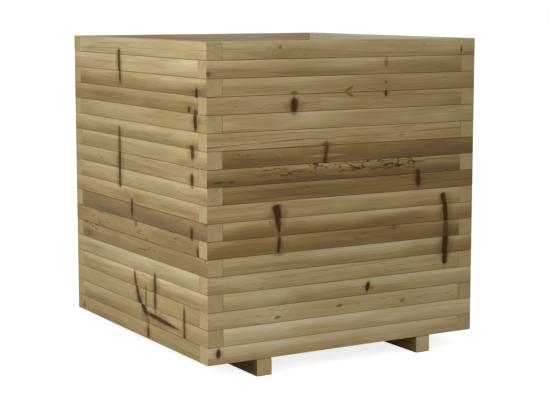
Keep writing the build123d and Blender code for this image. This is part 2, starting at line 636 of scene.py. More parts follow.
def outline(depth, height, arris):
    """A rounded rectangle from y = 0, the outer face, to y = depth, centred in z. A corner beside each arc
    keeps the flats flat."""
    points = []
    corners = [(arris, arris - height / 2, 180), (depth - arris, arris - height / 2, 270),
               (depth - arris, height / 2 - arris, 0), (arris, height / 2 - arris, 90)]
    for middle_y, middle_z, start in corners:
        first, last = math.radians(start), math.radians(start + 90)
        before = Vector((math.sin(first), -math.cos(first))) * SUPPORT
        after = Vector((-math.sin(last), math.cos(last))) * SUPPORT
        arc = []
        for step in range(ARRIS_STEPS + 1):
            angle = first + (last - first) * step / ARRIS_STEPS
            arc.append(Vector((middle_y + arris * math.cos(angle), middle_z + arris * math.sin(angle))))
        points += [arc[0] + before, *arc, arc[-1] + after]
    return points


def slow_wave(rng, size):
    """A smooth random line between 0 and size, as a function of the distance along a stick."""
    waves = [(rng.uniform(*WAVE_RATES), rng.uniform(0, ANY_TURN)) for _ in range(WAVES)]

    def height(along):
        swing = sum(math.sin(rate * along + phase) for rate, phase in waves)
        return size * (0.5 + swing / (2 * WAVES))
    return height


def stick_mesh(name, start, length, depth, height, arris=ARRIS, rng=None):
    """A swept stick from x = start, in the wall's own frame: y into the wall from its outer face, z about
    the stick's middle."""
    rng = rng or random.Random(1)
    outer_dip, inner_dip = slow_wave(rng, FACE_DIP), slow_wave(rng, FACE_DIP)
    arris_wave = slow_wave(rng, 2 * ARRIS_SPREAD)
    stations = max(2, round(length / STATION_GAP))
    inner = [END_EASE + (length - 2 * END_EASE) * step / stations for step in range(stations + 1)]
    places = [(0.0, END_EASE)] + [(along, 0.0) for along in inner] + [(length, END_EASE)]
    made = bmesh.new()
    loops = []
    for along, inset in places:
        arris_here = arris - ARRIS_SPREAD + arris_wave(along)
        loop = []
        for y, z in outline(depth, height, arris_here):
            share = y / depth
            y += outer_dip(along) * (1 - share) - inner_dip(along) * share
            y += inset * (1 - 2 * share)
            z -= inset * 2 * z / height
            loop.append(made.verts.new((start + along, y, z)))
        loops.append(loop)
    count = len(loops[0])
    for first, second in zip(loops, loops[1:]):
        for k in range(count):
            made.faces.new((first[k], second[k], second[(k + 1) % count], first[(k + 1) % count]))
    made.faces.new(loops[0])
    made.faces.new(list(reversed(loops[-1])))
    for face in made.faces:
        face.smooth = True
    bmesh.ops.recalc_face_normals(made, faces=made.faces)
    mesh = bpy.data.meshes.new(name)
    made.to_mesh(mesh)
    made.free()
    mesh.set_sharp_from_angle(angle=SHARP_ANGLE)
    return mesh


trial = stick_mesh("trial", 0.0, BATTEN_LENGTH, BATTEN, BATTEN)
print("faces to a batten:", len(trial.polygons))
bpy.data.meshes.remove(trial)

# %% [markdown]
# ## Where the screws are
#
# Four groups of screws hold the bed together. The CAD draws each as a plain eight-sided pin.
# Their places could be worked out again from the courses, but the CAD's own meshes already hold them:
# every separate island of faces is one screw, and its box gives its head, its point and its length.

# %% Read the screws
SCREW_NODES = ["corner_screws", "butt_end_screws", "floor_screws", "skid_screws"]
UP, DOWN = Vector((0, 0, 1)), Vector((0, 0, -1))
SAME_CORNER = 1e-6


def islands(mesh):
    """The corners of each separate part of a mesh."""
    made = bmesh.new()
    made.from_mesh(mesh)
    bmesh.ops.remove_doubles(made, verts=made.verts, dist=SAME_CORNER)
    left, found = set(made.verts), []
    while left:
        border, group = [left.pop()], []
        while border:
            corner = border.pop()
            group.append(corner.co.copy())
            for edge in corner.link_edges:
                other = edge.other_vert(corner)
                if other in left:
                    left.remove(other)
                    border.append(other)
        found.append(group)
    made.free()
    return found


def screws_of(node):
    """The middle of each head, the way it faces and the screw's length, from the CAD's pins. A head is the
    widest part of its screw. The list is in order of place, so that it is the same each time."""
    found = []
    for corners in islands(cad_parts[node].data):
        top, bottom = max(c.z for c in corners), min(c.z for c in corners)
        x = (max(c.x for c in corners) + min(c.x for c in corners)) / 2
        y = (max(c.y for c in corners) + min(c.y for c in corners)) / 2
        widest = max(corners, key=lambda c: math.hypot(c.x - x, c.y - y))
        way = UP if widest.z > (top + bottom) / 2 else DOWN
        found.append((Vector((x, y, top if way is UP else bottom)), way, top - bottom))
    return sorted(found, key=lambda screw: [round(c, 4) for c in screw[0]])


SCREWS = {node: screws_of(node) for node in SCREW_NODES}
print("screws:", {node: (len(found), round(found[0][2], 4)) for node, found in SCREWS.items()})

# %% [markdown]
# ## Holes for countersunk heads
#
# Where a screw shows, its head sits in a cone cut in the wood, a little below the face.
# A head laid on an uncut face would flicker through it. A boolean with a cone cuts the seat, and because
# what the mesh carries is written after the cut, the new faces get their grain like all others.

# %% Cut screw seats
HEAD_RADIUS = 0.0045
HEAD_SUNK = 0.0006
SEAT_ROOM = 0.0004
SEAT_SIDES = 32
SEAT_OVER = 0.001
SEAT_POINT = 0.0004
SAME_LEVEL = 1e-4


def cone_cutter(spot, way):
    """A countersink about a spot on a face, opening along the unit vector way."""
    made = bmesh.new()
    depth = HEAD_RADIUS + HEAD_SUNK + SEAT_ROOM
    bmesh.ops.create_cone(made, cap_ends=True, segments=SEAT_SIDES, radius1=SEAT_POINT,
                          radius2=depth + SEAT_OVER, depth=depth + SEAT_OVER)
    bmesh.ops.translate(made, verts=made.verts, vec=(0, 0, SEAT_OVER - (depth + SEAT_OVER) / 2))
    turn = UP.rotation_difference(way).to_matrix().to_4x4()
    bmesh.ops.transform(made, matrix=Matrix.Translation(spot) @ turn, verts=made.verts)
    mesh = bpy.data.meshes.new("cutter")
    made.to_mesh(mesh)
    made.free()
    cutter = bpy.data.objects.new("cutter", mesh)
    bpy.context.scene.collection.objects.link(cutter)
    return cutter


def cut_seats(mesh, seats):
    """The mesh with a screw seat cut at each spot, or the same mesh where there is none."""
    if not seats:
        return mesh
    holder = bpy.data.objects.new("holder", mesh)
    bpy.context.scene.collection.objects.link(holder)
    cutters = [cone_cutter(spot, way) for spot, way in seats]
    for cutter in cutters:
        change = holder.modifiers.new("seat", "BOOLEAN")
        change.object = cutter
        change.operation = "DIFFERENCE"
    bpy.context.view_layer.update()
    ready = holder.evaluated_get(bpy.context.evaluated_depsgraph_get())
    done = bpy.data.meshes.new_from_object(ready)
    for spare in [holder, *cutters]:
        bpy.data.objects.remove(spare)
    done.set_sharp_from_angle(angle=SHARP_ANGLE)
    return done


def seats_in(mesh, place):
    """The screw heads that show on the upper or lower face of a mesh, in the mesh's own frame."""
    corners = [v.co for v in mesh.vertices]
    low = [min(c[k] for c in corners) for k in range(3)]
    high = [max(c[k] for c in corners) for k in range(3)]
    seats = []
    for head, way, _ in (screw for found in SCREWS.values() for screw in found):
        spot = place.inverted() @ head
        level = high[2] if way.z > 0 else low[2]
        within = low[0] < spot.x < high[0] and low[1] < spot.y < high[1]
        if within and abs(spot.z - level) < SAME_LEVEL:
            seats.append((spot, way))
    return seats


# %% [markdown]
# ## Writing on the mesh
#
# Seventy-two battens with seventy-two materials would be hard to keep alike. Instead the few materials
# above read what each mesh carries: its place in the log and its own shade, figure, heart and knots.
# These are mesh attributes, one vector to a vertex, so they go with the mesh wherever it is used.

# %% Attributes
def write(mesh, name, values):
    """Write one vector to every vertex: the same for all, or a list of them."""
    layer = mesh.attributes.new(name, "FLOAT_VECTOR", "POINT")
    count = len(mesh.vertices)
    if not isinstance(values, list):
        values = [values] * count
    layer.data.foreach_set("vector", [number for vector in values for number in vector])


def write_timber(mesh, rng, shade, lower=0.0, end=0.0, figure=0.7, green=0.15, ochre=0.05,
                 end_shade=0.58, heart=None, ring_width=None, knots=(), resin=(0.0, 0.0, 1.0),
                 joints=(0.0, 0.0), flecks=0.0):
    """Everything that a timber material reads, on a mesh that is still in its wall's own frame."""
    write(mesh, "place", [tuple(v.co) for v in mesh.vertices])
    write(mesh, "shift", (rng.uniform(-9, 9), rng.uniform(-9, 9), rng.uniform(-9, 9)))
    if heart is None:
        away, angle = rng.uniform(0.05, 0.12), rng.uniform(0, 2 * math.pi)
        heart = (BATTEN / 2 + away * math.cos(angle), away * math.sin(angle))
    write(mesh, "heart", (*heart, ring_width or rng.uniform(0.0055, 0.0100)))
    # The batten's own tone, then painted shade on its lower edge (with a painted highlight on top), then
    # painted shade towards its far end
    write(mesh, "shade", (shade, lower, end))
    write(mesh, "figure", (figure, end_shade, 0.0))
    write(mesh, "stain", (green, ochre, 0.0))
    write(mesh, "resin", resin)
    write(mesh, "joints", (*joints, flecks))
    write(mesh, "lean", (rng.uniform(-0.02, 0.02), rng.uniform(-0.035, 0.035), 0.0))
    for number, (along, height, tilt, half_width, half_height, darkness, *form) in enumerate(knots, 1):
        write(mesh, f"knot_{number}_at", (along, height, math.radians(tilt)))
        write(mesh, f"knot_{number}_size", (half_width, half_height, darkness))
        write(mesh, f"knot_{number}_form", tuple(form) or OVAL)


def knot_room(knots):
    """How many knots the material must reckon with, and the list filled up to that with unseen ones."""
    room = next(count for count in planed if count >= len(knots))
    return room, list(knots) + [(9.0, 0.0, 0.0, 0.001, 0.001, 0.0)] * (room - len(knots))


# %% [markdown]
# ## What each visible batten looks like
#
# A maker sorting these battens would call one pale, the next umber, and mark where the knots fall.
# That is how they are described here: a shade by name, how much painted shade darkens its lower edge, and
# its knots in millimetres from the near corner and up from the batten's lower edge.
# Courses count from the ground, as in the CAD.

# %% Shades and knots
# Tones of the wood. The dark shade is used only for the skids, as painted shade for the shadow under the
# bed; cream is used only at the rim, as painted light
SHADES = {
    "cream": 0.94, "bright": 0.80, "pale": 0.74, "fair": 0.68, "straw": 0.62, "tan": 0.56,
    "olive": 0.50, "brown": 0.45, "umber": 0.39, "sepia": 0.33, "dark": 0.17,
}
# How much painted shade darkens a batten's lower edge, with a painted highlight of half that on its top
PLAIN, SHADED, DEEPLY_SHADED = 0.06, 0.13, 0.22

FRONT_LOOKS = {
    18: ("fair", SHADED), 17: ("straw", SHADED), 16: ("straw", PLAIN), 15: ("tan", PLAIN),
    14: ("fair", PLAIN), 13: ("straw", PLAIN), 12: ("umber", SHADED), 11: ("brown", DEEPLY_SHADED),
    10: ("umber", PLAIN), 9: ("straw", SHADED), 8: ("tan", DEEPLY_SHADED), 7: ("brown", SHADED),
    6: ("straw", SHADED), 5: ("straw", PLAIN), 4: ("fair", SHADED), 3: ("fair", PLAIN),
    2: ("bright", SHADED), 1: ("pale", SHADED),
}
LEFT_LOOKS = {
    18: ("fair", PLAIN), 17: ("fair", PLAIN), 16: ("tan", DEEPLY_SHADED), 15: ("brown", SHADED),
    14: ("tan", PLAIN), 13: ("straw", DEEPLY_SHADED), 12: ("straw", SHADED), 11: ("tan", PLAIN),
    10: ("straw", SHADED), 9: ("straw", SHADED), 8: ("sepia", PLAIN), 7: ("olive", PLAIN),
    6: ("brown", PLAIN), 5: ("fair", SHADED), 4: ("fair", DEEPLY_SHADED), 3: ("tan", PLAIN),
    2: ("tan", SHADED), 1: ("olive", PLAIN),
}
# Each knot: millimetres from the near corner and up from the lower edge, tilt in degrees, half width and
# half height in millimetres, and how dark it is. Some also have a taper, the bluntness of their ends and
# how pale the wood on both sides is.
FRONT_KNOTS = {
    18: [(203, 29, 40, 3, 6, 0.45), (755, 15, 0, 1.6, 10, 0.8)],
    17: [(6, 11, 0, 5, 7, 0.5), (517, 30, 0, 5, 13, 0.35)],
    16: [(243, 2, 0, 8, 7, 0.5), (404, 8, 62, 1.6, 17, 0.6), (517, 22, 0, 3, 4, 0.45)],
    15: [(243, 16, 0, 9, 22, 1.0), (408, 37, -66, 1.5, 15, 0.6), (517, 38, 0, 4, 8, 0.9)],
    14: [(243, 42, 0, 8, 8, 0.4)],
    13: [(337, 2, 0, 9, 9, 0.6)],
    12: [(336, 18, 8, 5.5, 44, 0.78, 0.0, 2.6, 0.26), (87, 32, 80, 1.2, 4, 0.55),
         (112, 30, 75, 1.1, 5, 0.5)],
    11: [(29, 11, 84, 1.6, 14, 0.7), (68, 11, 84, 1.4, 10, 0.6), (620, 3, 0, 7, 9, 0.9)],
    10: [(621, 27, -3, 7.5, 20, 1.0)],
    9: [(196, 8, -8, 10, 27, 1.0, 0.45, 12, 0.0), (706, 9, -16, 8, 23, 0.95, 0.25, 8, 0.0)],
    8: [(198, 30, -8, 7, 26, 0.95, 0.55, 2.6, 0.0), (174, 35, 30, 2, 4, 0.5), (711, 22, -4, 8, 60, 0.95)],
    7: [(200, 20, 4, 5, 26, 0.95), (713, 22, 0, 8, 60, 0.7), (546, 38, 0, 7, 8, 0.35)],
    6: [(200, 41, 0, 12, 5, 0.35), (711, 22, 2, 9, 60, 1.0)],
    5: [(711, 40, 2, 8, 27, 1.0, 0.0, 14, 0.0)],
    4: [(465, 20, 14, 6, 14, 1.0)],
    3: [(379, 23, 80, 3, 10, 0.5), (197, 13, 84, 2.5, 9, 0.5), (575, 17, 60, 4, 9, 0.3)],
    2: [],
    1: [(29, 28, 4, 5.5, 13, 0.95)],
}
LEFT_KNOTS = {
    18: [(497, 4, 0, 7.5, 13, 0.85)],
    17: [(496, 22, 4, 7.5, 60, 0.9)],
    16: [(492, 30, 4, 6, 24, 0.8), (50, 8, 0, 8, 13, 1.0)],
    15: [(50, 43, 0, 7, 4, 0.9), (90, 9, 0, 6, 9, 0.9), (56, 3, 0, 8, 9, 0.8)],
    14: [(58, 25, 3, 9, 24, 1.0)],
    13: [(500, 10, 0, 7, 17, 0.7), (76, 4, 0, 10, 8, 0.8)],
    12: [(500, 22, 0, 7.5, 60, 0.7), (74, 35, 0, 9, 18, 0.9)],
    11: [(500, 22, 0, 8, 60, 0.9), (78, 12, 0, 9, 17, 0.95)],
    10: [(500, 22, 0, 7, 60, 0.85), (78, 42, 0, 7, 9, 0.5)],
    9: [(500, 42, 0, 6, 7, 0.8), (426, 4, 0, 6, 10, 0.8)],
    8: [(426, 30, 0, 6, 24, 0.9), (81, 10, 0, 7, 18, 0.9)],
    7: [(403, 36, 0, 4, 9, 0.7), (81, 42, 0, 6, 7, 0.8), (48, 10, 0, 6, 13, 0.85)],
    6: [(721, 12, 0, 26, 14, 0.25)],
    5: [(291, 3, 0, 4, 8, 0.7)],
    4: [(409, 16, 14, 6, 27, 0.8), (291, 20, 0, 8, 60, 0.85), (346, 4, 0, 3.5, 9, 0.4)],
    3: [(397, 32, 26, 8, 20, 0.9), (385, 10, 42, 9, 22, 0.95), (291, 24, 0, 6, 34, 0.85),
        (346, 22, 0, 4, 60, 0.45), (125, 14, 0, 4.5, 24, 0.85)],
    2: [(356, 33, 56, 10, 27, 1.0), (256, 21.5, 87, 5.6, 106, 0.95, 0.35, 2.6, 0.0),
        (125, 22, 0, 4.5, 60, 0.85), (334, 6, 0, 6, 10, 0.5), (291, 40, 0, 4, 9, 0.6)],
    1: [(334, 20, 0, 7, 22, 0.8), (757, 15, 0, 4, 12, 0.6)],
}

# %% [markdown]
# ## Odd ones out
#
# A few battens have something of their own: crowded straight lines, a green bloom or curls of resin.
# Some front battens also get painted shade that grows towards their far end, where the light falls off.
# Giving every batten every setting by hand would be tedious to read, so only these are written down, and
# the rest are drawn by lot.
# The battens at the rim of the far walls show their inner faces over the near walls. They are made pale
# there, with no knots and no painted shade on the lower edge: painted light, for the light on those faces.

# %% Specials and the rim
NEAR_CORNER = {"front": lambda mm: mm / 1000 - HALF_SIDE, "left": lambda mm: HALF_SIDE - mm / 1000}
UPRIGHT_HEART = (BATTEN / 2, -0.13)
SPECIALS = {
    # end is painted shade that grows towards a front batten's far end, where the light falls off
    ("front", 17): {"end": 0.09},
    ("front", 16): {"end": 0.10},
    ("front", 14): {"end": 0.12},
    ("front", 13): {"end": 0.06, "green": 0.25,
                    "figure": 2.4, "heart": UPRIGHT_HEART, "ring_width": 0.0082},
    ("front", 12): {"end": 0.10, "green": 0.0},
    ("front", 11): {"end": 0.08, "green": 0.0, "figure": 0.8,
                    "resin": (1.0, NEAR_CORNER["front"](105), NEAR_CORNER["front"](665))},
    ("front", 10): {"green": 0.0},
    ("front", 7): {"green": 0.0},
    ("front", 6): {"end": 0.08},
    ("front", 2): {"end": 0.05, "green": 0.0, "ochre": 0.12},
    ("front", 1): {"end": 0.03, "green": 0.05, "ochre": 0.12},
    ("left", 18): {"green": 0.0, "ochre": 0.0},
    ("left", 17): {"green": 0.0, "ochre": 0.0},
    ("left", 8): {"green": 0.08, "flecks": 0.3},
    ("left", 7): {"flecks": 0.9, "green": 0.1},
    ("left", 6): {"flecks": 0.9, "green": 0.05},
    ("left", 3): {"green": 0.3},
    ("left", 2): {"green": 0.3},
    ("back", 18): {"green": 0.0, "ochre": 0.65},
    ("right", 18): {"green": 0.1, "ochre": 0.05},
}
# Painted light: the top battens of the far walls are made pale, standing for the light on their inner faces
PAINTED_LIT_RIM = {"right": "cream", "back": "cream"}
GREEN_RANGES = {"front": (0.0, 0.10), "left": (0.10, 0.32), "right": (0.3, 0.6), "back": (0.0, 0.3)}

# %% [markdown]
# ## A look for each batten
#
# The front and left walls follow the lists above. The back and right walls are out of the picture's sight:
# their shades and knots are drawn by lot, from fixed seeds, so that the bed comes out the same each time.
# Turning the listed walls round to the back would save this, but facing walls would then be twins.

# %% Looks by plan and by lot
LOT_SHADES = ["fair", "straw", "straw", "tan", "tan", "olive", "brown"]
# Painted shade on the lower edge, drawn by lot
LOT_LOWER = [PLAIN, PLAIN, SHADED, DEEPLY_SHADED]
LOT_KNOTS = [0, 0, 1, 1, 2]
# Along in metres, up in metres, tilt in degrees, half width, half height and darkness
KNOT_RANGES = ((-0.34, 0.34), (-0.014, 0.014), (-12, 12), (0.004, 0.010), (0.010, 0.060), (0.5, 1.0))


def drawn_looks(rng):
    """A look and some knots by lot, for a batten that the picture doesn't show."""
    shade = rng.choice(LOT_SHADES)
    lower = rng.choice(LOT_LOWER)
    knots = []
    for _ in range(rng.choice(LOT_KNOTS)):
        knots.append(tuple(rng.uniform(*span) for span in KNOT_RANGES))
    return shade, lower, knots


def described_looks(wall, course):
    """The look and knots written above for a visible batten. The left wall counts the other way."""
    looks, marks = (FRONT_LOOKS, FRONT_KNOTS) if wall == "front" else (LEFT_LOOKS, LEFT_KNOTS)
    sense = 1 if wall == "front" else -1
    shade, lower = looks[course]
    knots = []
    for along, up, tilt, width, height, dark, *form in marks[course]:
        place = (NEAR_CORNER[wall](along), up / 1000 - BATTEN / 2, sense * tilt)
        knots.append((*place, width / 1000, height / 1000, dark, *form))
    return shade, lower, knots


# %% [markdown]
# ## Setting a piece down
#
# A stick is planed along and sawn across, so it carries two finishes: the faces that look along it get the
# end grain. Two objects would do as well, but then a batten would come apart when it is reused.
# Each piece rides on the bed's one body and takes the place of the CAD piece that it stands for.

# %% Set a piece down
def mark_ends(mesh):
    """Give the sawn finish to the faces that look along the stick."""
    for face in mesh.polygons:
        face.material_index = int(abs(face.normal.x) > 0.9)


def set_down(name, mesh, place, finishes, stands_for):
    """Put a finished mesh in its place as a piece of the bed."""
    piece = bpy.data.objects.new(name, mesh)
    bpy.context.scene.collection.objects.link(piece)
    mesh.materials.clear()
    for finish in finishes:
        mesh.materials.append(finish)
    if len(finishes) > 1:
        mark_ends(mesh)
    mesh.transform(place)
    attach(piece, "root")
    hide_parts(stands_for)
    return piece


# %% [markdown]
# ## Laying the courses
#
# In odd courses the front batten laps the left corner, in even ones the right, and the other three follow
# it round like a pinwheel. So one front batten, turned by quarter turns, makes a whole course.
# Four mitred boards to a course would be quicker to draw, but the crossing ends are what holds the corner
# together and what one sees of it.

# %% Lay the courses
FIGURE_RANGE, OCHRE_RANGE = (0.4, 1.0), (0.0, 0.10)
# Sawn ends take a tone by lot; the second range is painted shade towards the far end, also by lot
END_SHADE_RANGE, FAR_END_SHADE_RANGE = (0.57, 0.61), (-0.02, 0.04)
FLECK_CHOICES = [0.0, 0.3]


def lap_side(course):
    """Odd courses lap the left end of the front batten over the corner, even courses the right end."""
    return -1 if course % 2 else 1


def lay_batten(wall, course):
    """One batten in its place, with its finish, standing for its half of the CAD's pair."""
    rng = random.Random(f"{wall} {course}")
    name = f"course_{course:02d}_{wall}_batten"
    start = -HALF_SIDE if lap_side(course) < 0 else BATTEN - HALF_SIDE
    mesh = stick_mesh(name, start, BATTEN_LENGTH, BATTEN, BATTEN, rng=rng)
    turn = Matrix.Rotation(math.radians(WALLS[wall]), 4, "Z")
    place = turn @ Matrix.Translation((0, -HALF_SIDE, WALLS_BOTTOM + (course - 0.5) * BATTEN))
    if course == COURSES:
        mesh = cut_seats(mesh, seats_in(mesh, place))
    shade, lower, knots = described_looks(wall, course) if wall in NEAR_CORNER else drawn_looks(rng)
    # Painted light at the rim: pale, with no painted shade on the lower edge and no knots
    if course == COURSES and wall in PAINTED_LIT_RIM:
        shade, lower, knots = PAINTED_LIT_RIM[wall], 0.0, []
    room, knots = knot_room(knots)
    looks = {
        "figure": rng.uniform(*FIGURE_RANGE),
        "ochre": rng.uniform(*OCHRE_RANGE),
        "end_shade": rng.uniform(*END_SHADE_RANGE),
        "green": rng.uniform(*GREEN_RANGES[wall]),
        "end": rng.uniform(*FAR_END_SHADE_RANGE),
        "flecks": rng.choice(FLECK_CHOICES),
    }
    looks.update(SPECIALS.get((wall, course), {}))
    joints = (float(course > 1), float(course < COURSES))
    write_timber(mesh, rng, SHADES[shade], lower, knots=knots, joints=joints, **looks)
    pair = "front_back" if wall in ("front", "back") else "left_right"
    stands_for = f"course_{course:02d}_{pair}_battens"
    return set_down(name, mesh, place, [planed[room], sawn_end], stands_for)


battens = [lay_batten(wall, course) for course in range(1, COURSES + 1) for wall in WALLS]
print("battens laid:", len(battens), "faces:", sum(len(piece.data.polygons) for piece in battens))

# %% [markdown]
# ## Skids
#
# The two skids are the same planed stock, full length from front to back, with screws driven up through
# them into the lowest course. They carry the bed clear of wet ground, and the floor boards lie on them.
# They need no new shape: the same swept stick serves, laid the other way. Their sides are duller than the
# walls, so the recipe is run once more with hardly any gloss, and they get a very dark shade that stands
# for the shadow under the bed: painted shade.

# %% Lay the skids
SKID_KNOTS = 2
# Up in metres, tilt in degrees, half width, half height and darkness
SKID_KNOT = (0.0, 8.0, 0.006, 0.03, 0.8)
SKID_END_SHADES = {"left_skid": 0.60, "right_skid": 0.69}
dull_skid_stock = timber("dull_skid_pine", SKID_KNOTS, gloss=0.05)


def lay_skid(name):
    """One skid in its place, from front to back."""
    rng = random.Random(name)
    low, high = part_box(name)
    width, height = high.x - low.x, high.z - low.z
    mesh = stick_mesh(name, low.y, high.y - low.y, width, height, rng=rng)
    place = Matrix.Translation((high.x, 0, height / 2)) @ Matrix.Rotation(math.radians(90), 4, "Z")
    mesh = cut_seats(mesh, seats_in(mesh, place))
    knots = [(rng.uniform(-0.2, 0.2), *SKID_KNOT) for _ in range(SKID_KNOTS)]
    # Painted shade: the skid's very dark shade and its slightly darker lower edge stand for the shadow
    # under the bed
    write_timber(mesh, rng, SHADES["dark"], 0.05, green=0.1, end_shade=SKID_END_SHADES[name], knots=knots)
    return set_down(f"{name}_timber", mesh, place, [dull_skid_stock, sawn_end], name)


skids = [lay_skid(name) for name in SKID_END_SHADES]
print("skids laid:", [piece.name for piece in skids])

# %% [markdown]
# ## Floor boards
#
# The soil lies on seven thin boards with gaps between them for drainage. Nobody sees them once the bed is
# filled, so a maker uses rough-sawn stock: duller, furrier and darker than the planed walls.
# The same recipe makes that timber with stronger fibres and relief, and the same stick is swept flatter.
# A knot runs through a stick from side to side and would cross a flat board as a dark band, so the boards'
# knots carry no darkness.

# %% Lay the floor
BOARD_ARRIS = 0.0012
BOARD_KNOTS = 2
UNSEEN_KNOT = (0.0, 0.0, 0.012, 0.5, 0.0)
rough = timber("rough_sawn_pine", BOARD_KNOTS, ring_show=1.4, bump=0.8, fibre_waves=(40.0, 300.0, 300.0))
BOARD_COUNT = sum(name.startswith("floor_board_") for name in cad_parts)


def lay_board(number):
    """One floor board in its place, across both skids."""
    name = f"floor_board_{number}"
    rng = random.Random(name)
    low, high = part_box(name)
    width, thick = high.y - low.y, high.z - low.z
    mesh = stick_mesh(name, low.x, high.x - low.x, width, thick, arris=BOARD_ARRIS, rng=rng)
    place = Matrix.Translation((0, low.y, (low.z + high.z) / 2))
    mesh = cut_seats(mesh, seats_in(mesh, place))
    shade = SHADES[rng.choice(["tan", "olive", "olive", "brown"])]
    knots = [(rng.uniform(-0.3, 0.3), *UNSEEN_KNOT) for _ in range(BOARD_KNOTS)]
    heart = (width * rng.uniform(0.2, 0.8), -0.06)
    write_timber(mesh, rng, shade, figure=1.2, green=0.2, end_shade=0.5, heart=heart, knots=knots)
    return set_down(f"{name}_timber", mesh, place, [rough, sawn_end], name)


boards = [lay_board(number) for number in range(1, BOARD_COUNT + 1)]
print("boards laid:", len(boards))

# %% [markdown]
# ## Coated steel
#
# Screws for outdoor timber carry a dull zinc coat, a little yellow, scuffed bright by the driver.
# Bare shiny metal would look new from the box. The metal is kept, but noise in the colour and the
# roughness dulls it unevenly.

# %% Steel
DULL_ZINC, BRIGHT_ZINC = srgb(150, 141, 112), srgb(196, 190, 168)
ZINC_ROUGHNESS, ZINC_CLOUDS = 0.28, 0.30


def steel(name):
    """The material of zinc-coated steel."""
    material, tree, shader = new_material(name)
    place = add_node(tree, "ShaderNodeTexCoord", {}, "Object")
    cloud = noise(tree, place, (320.0, 320.0, 320.0), detail=3.0)
    plug(tree, mix_colours(tree, cloud, DULL_ZINC, BRIGHT_ZINC), shader.inputs["Base Color"])
    plug(tree, cloud * ZINC_CLOUDS + ZINC_ROUGHNESS, shader.inputs["Roughness"])
    shader.inputs["Metallic"].default_value = 1.0
    emboss(tree, shader, noise(tree, place, (900.0, 900.0, 900.0)), strength=0.2, reach=0.0001)
    return material


coated_steel = steel("zinc_coated_steel")
print("for the screws:", coated_steel.name)

# %% [markdown]
# ## Screws
#
# Outdoor wood screws have a flat countersunk head with a six-lobed drive, a smooth shank that slides
# through the upper batten, and a coarse thread that bites in the lower one.
# A cylinder with a cone would do where they are buried, but the heads on the rim and the floor show.
# One screw is made properly and set down at every place that was read from the CAD. It is built of rings of
# corners, from the floor of the drive out over the head and down the shank.

# %% Rings of corners
LOBES = 6
HEAD_SIDES = 36
DRIVE_RADIUS, LOBE_DEPTH, DRIVE_DEPTH = 0.0019, 0.00035, 0.0018
SHANK_RADIUS, CORE_RADIUS, CREST_RADIUS = 0.0016, 0.0014, 0.00222
PITCH = 0.0024
THREAD_SIDES = 9
POINT = 0.005
TIP_SHARE, TAPER_ROWS = 0.35, 5
SMOOTH_SHARE = 0.38
DRIVE_TAPER = 0.8
RIM_EDGE = 0.0003


def ring_of(made, radius, z, sides, lobed=0.0):
    """A closed ring of corners, pulled in and out in lobes where that is asked for."""
    ring = []
    for k in range(sides):
        angle = 2 * math.pi * k / sides
        reach = radius + lobed * math.cos(LOBES * angle)
        ring.append(made.verts.new((reach * math.cos(angle), reach * math.sin(angle), z)))
    return ring


def join_rings(made, upper, lower):
    """Faces between two rings. Where one has more corners, several of them share a corner of the other."""
    many, few = (upper, lower) if len(upper) >= len(lower) else (lower, upper)
    step = len(many) // len(few)
    for k in range(len(many)):
        near, far = few[k // step], few[((k + 1) // step) % len(few)]
        corners = [many[k], many[(k + 1) % len(many)]]
        made.faces.new(corners + ([far, near] if far is not near else [near]))


# %% [markdown]
# The thread is rolled into a real screw as one ridge that climbs like a stair. Stacked rings would look
# alike from afar, but wouldn't climb. Here each row of corners starts a little lower than it ends, so the
# last corner of one row meets the first of the next, and crests and roots take turns.

# %% The thread
def add_thread(made, shank, start, end):
    """A helical ridge from z = start down to z = end, closed in a point."""
    turns = max(3, round((start - end - POINT) / PITCH))
    rows = 2 * turns
    grid = []
    for row in range(rows + 1):
        radius = CREST_RADIUS if row % 2 else CORE_RADIUS
        taper = min(1.0, TIP_SHARE + (1 - TIP_SHARE) * (rows - row) / TAPER_ROWS)
        line = []
        for k in range(THREAD_SIDES):
            angle = 2 * math.pi * k / THREAD_SIDES
            x, y = radius * taper * math.cos(angle), radius * taper * math.sin(angle)
            line.append(made.verts.new((x, y, start - PITCH * (row / 2 + k / THREAD_SIDES))))
        grid.append(line)
    tip = made.verts.new((0, 0, end))
    last = THREAD_SIDES - 1
    for row in range(rows):
        for k in range(last):
            made.faces.new((grid[row][k], grid[row + 1][k], grid[row + 1][k + 1], grid[row][k + 1]))
        if row + 3 <= rows:
            made.faces.new((grid[row][last], grid[row + 1][last], grid[row + 3][0], grid[row + 2][0]))
    for k in range(last):
        made.faces.new((shank[k], grid[0][k], grid[0][k + 1], shank[k + 1]))
        made.faces.new((grid[rows][k], tip, grid[rows][k + 1]))
    made.faces.new((shank[last], grid[0][last], grid[2][0], grid[1][0], grid[0][0], shank[0]))
    made.faces.new((grid[rows - 2][last], grid[rows - 1][last], grid[rows][last], tip, grid[rows][0]))


